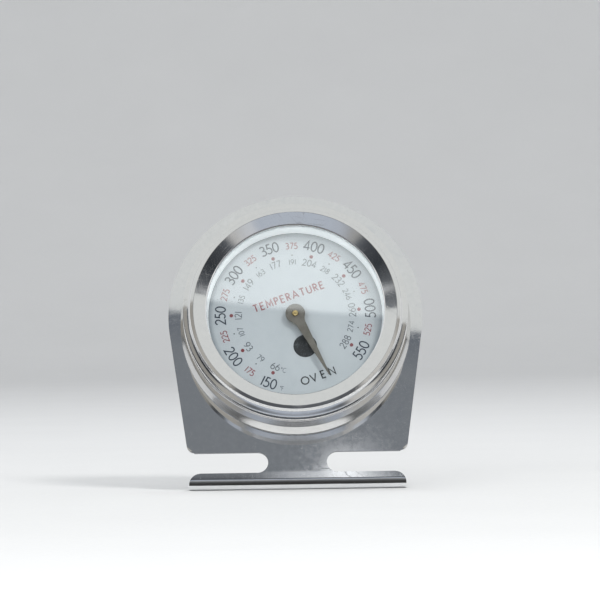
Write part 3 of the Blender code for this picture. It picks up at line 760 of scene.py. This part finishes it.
def stroke(bm, points, width):
    """A solid flat ribbon with mitred bends and square ends."""
    path = [Vector(q) for q in points]
    loop = (path[0] - path[-1]).length < 1e-4
    if loop:
        path.pop()
    spaced = path[:1]
    for point in path[1:]:
        if (point - spaced[-1]).length > 1e-3:
            spaced.append(point)
    path = spaced
    count = len(path)
    rows = []
    for i in range(count):
        if loop or 0 < i < count - 1:
            arriving = (path[i] - path[i - 1]).normalized()
            leaving = (path[(i + 1) % count] - path[i]).normalized()
        elif i == 0:
            arriving = leaving = (path[1] - path[0]).normalized()
        else:
            arriving = leaving = (path[-1] - path[-2]).normalized()
        normal = Vector((-arriving.y, arriving.x))
        mitre = normal + Vector((-leaving.y, leaving.x))
        if mitre.length < 1e-3:
            mitre = normal.copy()
        mitre.normalize()
        reach = min(0.5 * width / max(0.35, mitre.dot(normal)), width * 1.15)
        rows.append([bm.verts.new((*(path[i] + mitre * reach * side), z))
                     for side, z in ((1, INK_Z), (-1, INK_Z),
                                     (-1, INK_Z + INK_T), (1, INK_Z + INK_T))])
    pairs = list(zip(rows, rows[1:]))
    if loop:
        pairs.append((rows[-1], rows[0]))
    for a, b in pairs:
        for k in range(4):
            m = (k + 1) % 4
            bm.faces.new((a[k], a[m], b[m], b[k]))
    if not loop:
        bm.faces.new(rows[0][::-1])
        bm.faces.new(rows[-1])


def draw_glyph(bm, char, origin, along, up, left, height, width):
    """One glyph, its left edge at `left` and its middle height at the origin."""
    for points in GLYPHS[char][1]:
        stroke(bm, [tuple(origin + along * (left + x * height)
                          + up * ((y - 0.5) * height)) for x, y in points], width)


def text_width(text, gap):
    return sum(GLYPHS[c][0] for c in text) + gap * (len(text) - 1)


def arc_text(bm, text, deg, inward, radius, height, width, gap):
    """Text centred on a dial angle; radius is to the middle of the glyphs and
    inward text has its top towards the dial centre."""
    x = -text_width(text, gap) * height / 2
    for char in text:
        glyph_w = GLYPHS[char][0] * height
        middle = x + glyph_w / 2
        angle = radians(deg) + (middle / radius) * (-1 if inward else 1)
        outward = Vector((sin(angle), cos(angle)))
        along, up = Vector((cos(angle), -sin(angle))), outward
        if inward:
            along, up = -along, -up
        draw_glyph(bm, char, outward * radius, along, up, -glyph_w / 2, height, width)
        x += glyph_w + gap * height


def line_text(bm, text, centre, height, width, gap=0.2):
    """Straight text centred on a point, level in the dial's own turn."""
    along = Vector((cos(radians(-DIAL_TURN)), sin(radians(-DIAL_TURN))))
    up = Vector((-along.y, along.x))
    x = -text_width(text, gap) * height / 2
    for char in text:
        draw_glyph(bm, char, centre, along, up, x, height, width)
        x += (GLYPHS[char][0] + gap) * height


def spot(bm, deg, radius, spot_r, around=24):
    """Filled round spot at a dial angle and a distance from the dial centre."""
    cx, cy = radius * sin(radians(deg)), radius * cos(radians(deg))
    low = [bm.verts.new((cx + spot_r * cos(2 * pi * i / around),
                         cy + spot_r * sin(2 * pi * i / around), INK_Z))
           for i in range(around)]
    high = [bm.verts.new((v.co.x, v.co.y, v.co.z + INK_T)) for v in low]
    bm.faces.new(low[::-1])
    bm.faces.new(high)
    for i in range(around):
        j = (i + 1) % around
        bm.faces.new((low[i], low[j], high[j], high[i]))


def dial_print():
    navy, red, thin, grey, black = (bmesh.new() for _ in range(5))
    spots_at = 16.65
    big_f = dict(radius=19.55, height=2.60, width=0.335, gap=0.13)
    big_c = dict(radius=14.85, height=1.75, width=0.21, gap=0.17)
    small_f = dict(radius=19.2, height=1.60, width=0.225, gap=0.17)
    small_c = dict(radius=14.75, height=1.38, width=0.175, gap=0.2)
    for fahrenheit in range(150, 551, 25):
        deg = DIAL_TURN + (fahrenheit - TOP_F) * DEG_PER_F
        inward = not 200 < fahrenheit < 500
        celsius = str(int(round((fahrenheit - 32) * 5 / 9)))
        if fahrenheit % 50 == 0:
            arc_text(navy, str(fahrenheit), deg, inward, **big_f)
            spot(red, deg, spots_at, 0.475)
            arc_text(grey, celsius, deg, inward, **big_c)
        else:
            arc_text(thin, str(fahrenheit), deg, inward, **small_f)
            arc_text(grey, celsius, deg, inward, **small_c)
            spot(black, deg, spots_at, 0.17, around=12)
    arc_text(grey, "*F", 190.8, True, radius=20.15, height=1.15, width=0.12, gap=0.14)
    arc_text(grey, "*C", 192.6, True, radius=15.2, height=1.25, width=0.12, gap=0.14)

    turn = Matrix.Rotation(radians(-DIAL_TURN), 2)
    for char, x in zip("OVEN", (-3.8, -1.45, 1.13, 3.63)):
        line_text(black, char, turn @ Vector((x, -17.5)), height=2.0, width=0.33)
    line_text(thin, "TEMPERATURE", turn @ Vector((0.1, 5.45)), height=1.95, width=0.32,
              gap=0.34)
    # large black disc low on the dial
    disc = Vector((2.45, -8.35))
    spot(black, degrees(atan2(disc.x, disc.y)), disc.length, 3.07, around=64)

    for name, bm, material in (
            ("dial_numbers", navy, NAVY_INK), ("dial_red_dots", red, RED_INK),
            ("dial_red_numbers", thin, THIN_RED_INK),
            ("dial_celsius_numbers", grey, GREY_INK),
            ("dial_black_marks", black, BLACK_INK)):
        add_object(name, bm, (material,), "head", smooth=30)


dial_print()


# ============================================================== pointer
def pointer_outline():
    """Round hub, filleted into a blade that tapers to a small round tip."""
    root_half, root_y, tip_half = 1.17, 4.4, 0.16
    fillet_r = 2.6
    slope = (root_half - tip_half) / (POINTER_LEN - root_y)
    edge = Vector((-slope, 1.0)).normalized()       # right edge, going outwards
    outside = Vector((edge.y, -edge.x))
    # the fillet's centre lies fillet_r outside the edge and clear of the hub
    beside = Vector((root_half, root_y)) + outside * fillet_r
    b = beside.dot(edge)
    c = beside.dot(beside) - (POINTER_HUB_R + fillet_r) ** 2
    centre = beside + edge * (-b + sqrt(b * b - c))
    on_hub = centre * (POINTER_HUB_R / (POINTER_HUB_R + fillet_r))
    first = on_hub - centre
    last = centre - outside * fillet_r - centre
    right = arc(0, 0, POINTER_HUB_R, -pi / 2, atan2(on_hub.y, on_hub.x), 60)
    right += arc(centre.x, centre.y, fillet_r, atan2(first.y, first.x),
                 atan2(last.y, last.x), 14)[1:]
    right += arc(0, POINTER_LEN - tip_half, tip_half, 0, pi / 2, 6)[:-1]
    right.append((0.0, POINTER_LEN))
    return right + mirrored(right[1:-1])


def pointer():
    hole = oval(0, 0, SPINDLE_HOLE_R, SPINDLE_HOLE_R, 0, 360, 48)[:-1]
    bm = fill_loops((pointer_outline(), hole), z=POINTER_BOTTOM)
    thicken(bm, POINTER_T)
    ob = add_object("pointer_blade", bm, (BRONZE, BRONZE_EDGE), "pointer_assembly",
                    HEAD @ Matrix.Rotation(-radians(POINTER_DEG), 4, 'Z'),
                    smooth=50.0, replaces="pointer")
    for face in ob.data.polygons:
        if abs(face.normal.z) < 0.5:
            face.material_index = 1
    edge_round(ob, width=0.00005, segments=2, angle_deg=60)
    flat_normals(ob, weight=60)
    ob.data.shade_smooth()


pointer()

turned("spindle_pin", [
    (0, 2.75, 0), (.55, 2.75, .05), (SPINDLE_R, 2.95, .08), (SPINDLE_R, 9.9, .12),
    (.52, 10.12, .12), (0, 10.16, 0)],
    64, BRASS, "pointer_spindle", body="pointer_assembly")
turned("pointer_collar", [
    (SPINDLE_HOLE_R, 8.25, .06), (1.6, 8.25, .1), (1.6, 9.1, .1),
    (SPINDLE_HOLE_R, 9.1, .06)],
    64, BRASS, "pointer_bush", body="pointer_assembly")

# CAD pieces kept as they are, with a new material
for node_name, material in {
        "friction_washer": ZINC_STEEL, "movement_bridge": ZINC_STEEL,
        "bridge_rivet_left": ZINC_STEEL, "bridge_rivet_right": ZINC_STEEL,
        "rear_bearing_bush": BRASS, "front_bearing_bush": BRASS,
        "coil_anchor_post": BRASS, "coil_hub": BRASS,
        "bimetal_coil": BIMETAL, "dial_support_ring": MILL_METAL}.items():
    slots = frame["nodes"][node_name].data.materials
    slots.clear()
    slots.append(material)


# =============================================================== studio
def floor_material():
    """Pale floor; glossy rays see painted reflection colours instead, darker by place and
    steepness.
    """
    t = new_material("floor_pale")
    broad = t.noise(scale=14.0, detail=4.0, rough=0.6)
    fine = t.noise(scale=600.0, detail=3.0, rough=0.6)
    pale = t.mix(broad, (0.66, 0.665, 0.67), (0.70, 0.705, 0.71))
    y = t.split(t.coords())[1]
    glossy = t.node("LightPath").outputs["Is Glossy Ray"]
    steep = t.split(t.node("NewGeometry").outputs["Incoming"])[2]
    # painted reflections, for glossy rays only: a dark patch just in front of the stand, and a
    # bright floor further forward
    painted_dark_reflection = t.times(t.step(y, span=(-0.0149, -0.0153)),
                  t.step(y, span=(-0.0255, -0.0235)))
    bright = t.times(t.step(y, span=(-0.095, -0.065)), t.step(steep, span=(0.24, 0.33)))
    seen = t.mix(t.step(steep, span=(0.00, 0.26)), (0.27, 0.275, 0.285),
                 (0.10, 0.102, 0.106))
    dark = t.mix(t.step(steep, span=(0.20, 0.50)), (0.10, 0.102, 0.106),
                 (0.028, 0.027, 0.026))
    seen = t.mix(bright, seen, (0.92, 0.925, 0.93))
    seen = t.mix(painted_dark_reflection, seen, dark)
    seen = t.mix(t.step(y, span=(0.004, 0.030)), seen, (0.52, 0.53, 0.545))
    return t.surface(t.mix(glossy, pale, seen),
                     t.step(fine, span=(0.3, 0.7), to=(0.55, 0.7)),
                     t.bump(fine, strength=0.05, dist=0.0002))


def floor():
    """Plain sweep: floor running up into a far backdrop, in metres."""
    front, curve_start, curve_r, top, half_width = -3.0, 1.6, 0.9, 3.0, 3.5
    drop = 0.00002                      # keeps the floor just under the stand
    profile = [(front, 0.0), (curve_start, 0.0)]
    profile += [(curve_start + curve_r * sin(radians(a)),
                 curve_r - curve_r * cos(radians(a))) for a in range(6, 91, 6)]
    profile += [(curve_start + curve_r, top)]
    bm = bmesh.new()
    rows = [[bm.verts.new((x, y, z - drop)) for x in (-half_width, half_width)]
            for y, z in profile]
    for a, b in zip(rows, rows[1:]):
        bm.faces.new((a[0], a[1], b[1], b[0]))
    mesh = bpy.data.meshes.new("floor_sweep")
    bm.to_mesh(mesh)
    bm.free()
    mesh.shade_smooth()
    ob = link_object("floor_sweep", mesh)
    mesh.materials.append(floor_material())


floor()


def white_paint(t):
    shade = t.noise(scale=7.0, detail=2.0, rough=0.5)
    return t.mix(shade, (0.765, 0.780, 0.768), (0.785, 0.800, 0.792)), 1.0


def dark_paint(t):
    """Dark grey that lightens and then fades out downwards."""
    below = t.times(t.split(t.coords())[1], -1.0)
    color = t.mix(t.step(below, span=(0.0, 0.018)), (0.165, 0.181, 0.207),
                  (0.225, 0.241, 0.260))
    return color, t.step(below, span=(0.030, 0.014))


def card_place():
    """Where a level view along +Y, mirrored in the dial face, meets the card."""
    distance, below_axis = 0.36, 0.0009
    view = Vector((0, 1, 0))
    mirrored_view = (view - 2 * view.dot(FACE_OUT) * FACE_OUT).normalized()
    x_axis = Vector((1.0, -0.036, -0.100)).normalized()
    z_axis = x_axis.cross(Vector((0.0, 0.86, 0.52)).normalized()).normalized()
    return axes_matrix(x_axis, z_axis.cross(x_axis), z_axis,
                       AXIS_P - UP * below_axis + mirrored_view * distance)


def glow_sheet(name, half_width, low, high, paint):
    """Glowing sheet above the front, seen only in reflections."""
    bm = bmesh.new()
    bm.faces.new([bm.verts.new(p) for p in (
        (-half_width, low, 0), (half_width, low, 0),
        (half_width, high, 0), (-half_width, high, 0))])
    mesh = bpy.data.meshes.new(name)
    bm.to_mesh(mesh)
    bm.free()
    ob = link_object(name, mesh)
    ob.matrix_world = card_place()
    t = new_material(name + "_glow")
    color, alpha = paint(t)
    glow = t.node("Emission", {"Color": color})
    clear = t.node("BsdfTransparent")
    mesh.materials.append(t.out(t.node("MixShader", {
        0: alpha, 1: clear.outputs[0], 2: glow.outputs[0]}).outputs[0]))
    ob.visible_camera = False
    ob.visible_shadow = False
    ob.visible_transmission = False


glow_sheet("white_card", half_width=0.42, low=0.0, high=0.62, paint=white_paint)
glow_sheet("card_dark_edge", half_width=0.055, low=-0.032, high=-0.0001,
           paint=dark_paint)


def area_light(name, place, size, power, color):
    """Soft lamp aimed at the product, kept out of view and of reflections."""
    target = Vector((0, 0, 0.04))
    light = bpy.data.lights.new(name, 'AREA')
    light.shape = 'RECTANGLE'
    light.size, light.size_y = size
    light.energy = power
    light.color = color
    ob = link_object(name, light)
    ob.location = place
    ob.rotation_euler = (target - Vector(place)).to_track_quat('-Z', 'Y').to_euler()
    ob.visible_camera = False
    ob.visible_glossy = False


area_light("key_light", place=(0.62, -0.95, 0.95), size=(0.30, 0.30), power=11.0,
           color=(1.0, 0.99, 0.97))
area_light("fill_light", place=(-0.35, -1.25, 0.55), size=(1.1, 0.8), power=8.5,
           color=(0.98, 0.99, 1.0))
area_light("top_light", place=(-0.2, 0.35, 1.5), size=(1.2, 1.0), power=7.0,
           color=(0.97, 0.98, 1.0))

# ---------------- world: colours by elevation, (degrees, rgb), for three sectors
SKY_HIGH = [(46, (0.24, 0.250, 0.265)), (58, (0.70, 0.715, 0.71))]
SKY_FRONT = [
    (-10, (0.105, 0.105, 0.110)), (-0.4, (0.110, 0.110, 0.115)),
    (0.9, (0.33, 0.335, 0.340)), (2.4, (0.34, 0.345, 0.355)),
    (3.1, (0.54, 0.59, 0.67)), (7.5, (0.50, 0.545, 0.62)),
    (8.4, (0.34, 0.365, 0.41)), (10, (0.135, 0.145, 0.160)),
    (18, (0.105, 0.110, 0.120)), (25, (0.120, 0.127, 0.140)),
    (34.5, (0.222, 0.238, 0.258))] + SKY_HIGH
SKY_MIDDLE = [
    (-10, (0.42, 0.41, 0.395)), (2.6, (0.40, 0.395, 0.385)),
    (3.4, (0.54, 0.585, 0.66)), (7.5, (0.50, 0.54, 0.61)),
    (10, (0.38, 0.38, 0.375)), (13, (0.47, 0.455, 0.42)),
    (33, (0.50, 0.485, 0.455)), (36, (0.25, 0.26, 0.27))] + SKY_HIGH
SKY_SIDES = [
    (-10, (0.60, 0.61, 0.62)), (-2, (0.56, 0.59, 0.64)),
    (3, (0.54, 0.59, 0.67)), (7.5, (0.52, 0.565, 0.645)),
    (10, (0.16, 0.175, 0.195)), (14, (0.07, 0.075, 0.085)),
    (19, (0.035, 0.040, 0.047)), (25, (0.10, 0.108, 0.120)),
    (31, (0.15, 0.160, 0.175)), (34.5, (0.21, 0.226, 0.245))] + SKY_HIGH
SKY_BELOW, SKY_RANGE = 10.0, 70.0         # the ramps run from -10 to 60 degrees


def sky_ramp(t, elevation, stops):
    position = t.calc('DIVIDE', t.plus(elevation, SKY_BELOW), SKY_RANGE)
    ramp = t.node("ValToRGB", {0: position})
    elements = ramp.color_ramp.elements
    elements.remove(elements[-1])
    elements[0].position, elements[0].color = 0.0, (*stops[0][1], 1.0)
    for degree, rgb in stops[1:]:
        elements.new((degree + SKY_BELOW) / SKY_RANGE).color = (*rgb, 1.0)
    return ramp.outputs[0]


def sky_sectors(t, elevation, azimuth, off_front):
    """Front strip, middle bands beside it and then the sides."""
    middle = sky_ramp(t, elevation, SKY_MIDDLE)
    middle = t.tint(middle, t.step(azimuth, span=(10.0, 14.0)), (0.95, 0.94, 0.92),
                    amount=0.35)
    # the front strip narrows with height
    wide = t.plus(off_front, t.step(elevation, span=(18.0, 33.0), to=(0.0, 5.0)))
    color = t.mix(t.step(wide, span=(12.0, 15.0)), sky_ramp(t, elevation, SKY_FRONT),
                  middle)
    # the sides stay dark low down and turn warm grey above a rising curve:
    # base + slope * over + bend * over squared, all in degrees
    curve_from, base, slope, bend = 14.0, 9.0, 0.5, 0.025
    over = t.minus(off_front, curve_from)
    rise = t.weighted('ADD', over, t.calc('POWER', over, 2.0), weights=(slope, bend))
    above = t.minus(elevation, t.plus(rise, base))
    warm = t.times(t.step(above, span=(-1.5, 1.5)),
                   t.step(elevation, span=(45.0, 40.0)))
    side = t.mix(warm, sky_ramp(t, elevation, SKY_SIDES), (0.37, 0.355, 0.325))
    return t.mix(t.step(off_front, span=(20.5, 23.5)), color, side)


def sky_opening(t, elevation, azimuth):
    """Mask and colour of a small opening in front, mostly to the right."""
    tall = t.step(azimuth, span=(0.28, 0.45))
    top = t.plus(t.times(t.step(elevation, span=(33.9, 31.6)), t.minus(1.0, tall)),
                 t.times(t.step(elevation, span=(35.35, 34.95)), tall))
    mask = t.times(t.step(elevation, span=(16.0, 20.0)), top)
    mask = t.times(mask, t.times(t.step(azimuth, span=(-0.85, 0.10)),
                                 t.step(azimuth, span=(9.0, 6.0))))
    # a narrow bright band, with dim grey to its right
    band = t.times(t.step(azimuth, span=(0.28, 0.45)),
                   t.step(azimuth, span=(1.05, 0.80)))
    lit = t.mix(band, (0.60, 0.62, 0.65), (1.22, 1.24, 1.26))
    return mask, t.mix(t.step(azimuth, span=(1.15, 1.40)), lit, (0.22, 0.235, 0.255))


def studio_world():
    world = bpy.data.worlds.new("studio")
    bpy.context.scene.world = world
    t = Nodes(world)
    x, y, z = t.split(t.node("TexCoord").outputs["Generated"])
    # degrees; azimuth is 0 in front and grows to the right
    elevation = t.times(t.calc('ARCSINE', z), DEG_PER_RAD)
    azimuth = t.times(t.calc('ARCTAN2', x, t.times(y, -1.0)), DEG_PER_RAD)
    off_front = t.calc('ABSOLUTE', azimuth)
    color = sky_sectors(t, elevation, azimuth, off_front)
    mask, lit = sky_opening(t, elevation, azimuth)
    color = t.mix(mask, color, lit)
    # white far to the sides, light grey behind
    far = t.plus(off_front, t.step(elevation, span=(34.0, 27.0), to=(0.0, 11.5)))
    color = t.mix(t.step(far, span=(46.0, 49.0)), color, (0.92, 0.93, 0.94))
    color = t.mix(t.step(off_front, span=(130.0, 150.0)), color, (0.60, 0.61, 0.62))
    camera_ray = t.node("LightPath").outputs["Is Camera Ray"]
    color = t.mix(camera_ray, color, (0.62, 0.625, 0.63))
    background = t.node("Background", {"Color": color, "Strength": 1.0})
    t.out(background.outputs[0], "OutputWorld")


studio_world()


def camera():
    """Long lens at the front, looking level along +Y, with a slight roll."""
    distance, view_width = 1.134, 0.15702       # metres, width at the head axis
    shift_right, shift_up = 0.00117765, 0.00643782
    roll = radians(0.86)
    right = Vector((cos(roll), 0.0, -sin(roll)))
    up = Vector((sin(roll), 0.0, cos(roll)))
    back = Vector((0.0, -1.0, 0.0))
    data = bpy.data.cameras.new("camera")
    data.sensor_width = 36.0
    data.lens = 36.0 * distance / view_width
    data.clip_start, data.clip_end = 0.05, 20.0
    ob = link_object("camera", data)
    ob.matrix_world = axes_matrix(
        right, up, back, AXIS_P + right * shift_right + up * shift_up + back * distance)
    bpy.context.scene.camera = ob


camera()

view = bpy.context.scene.view_settings
view.view_transform = 'Standard'
view.look = 'None'
view.exposure = 0.0
view.gamma = 1.0

bpy.context.view_layer.update()
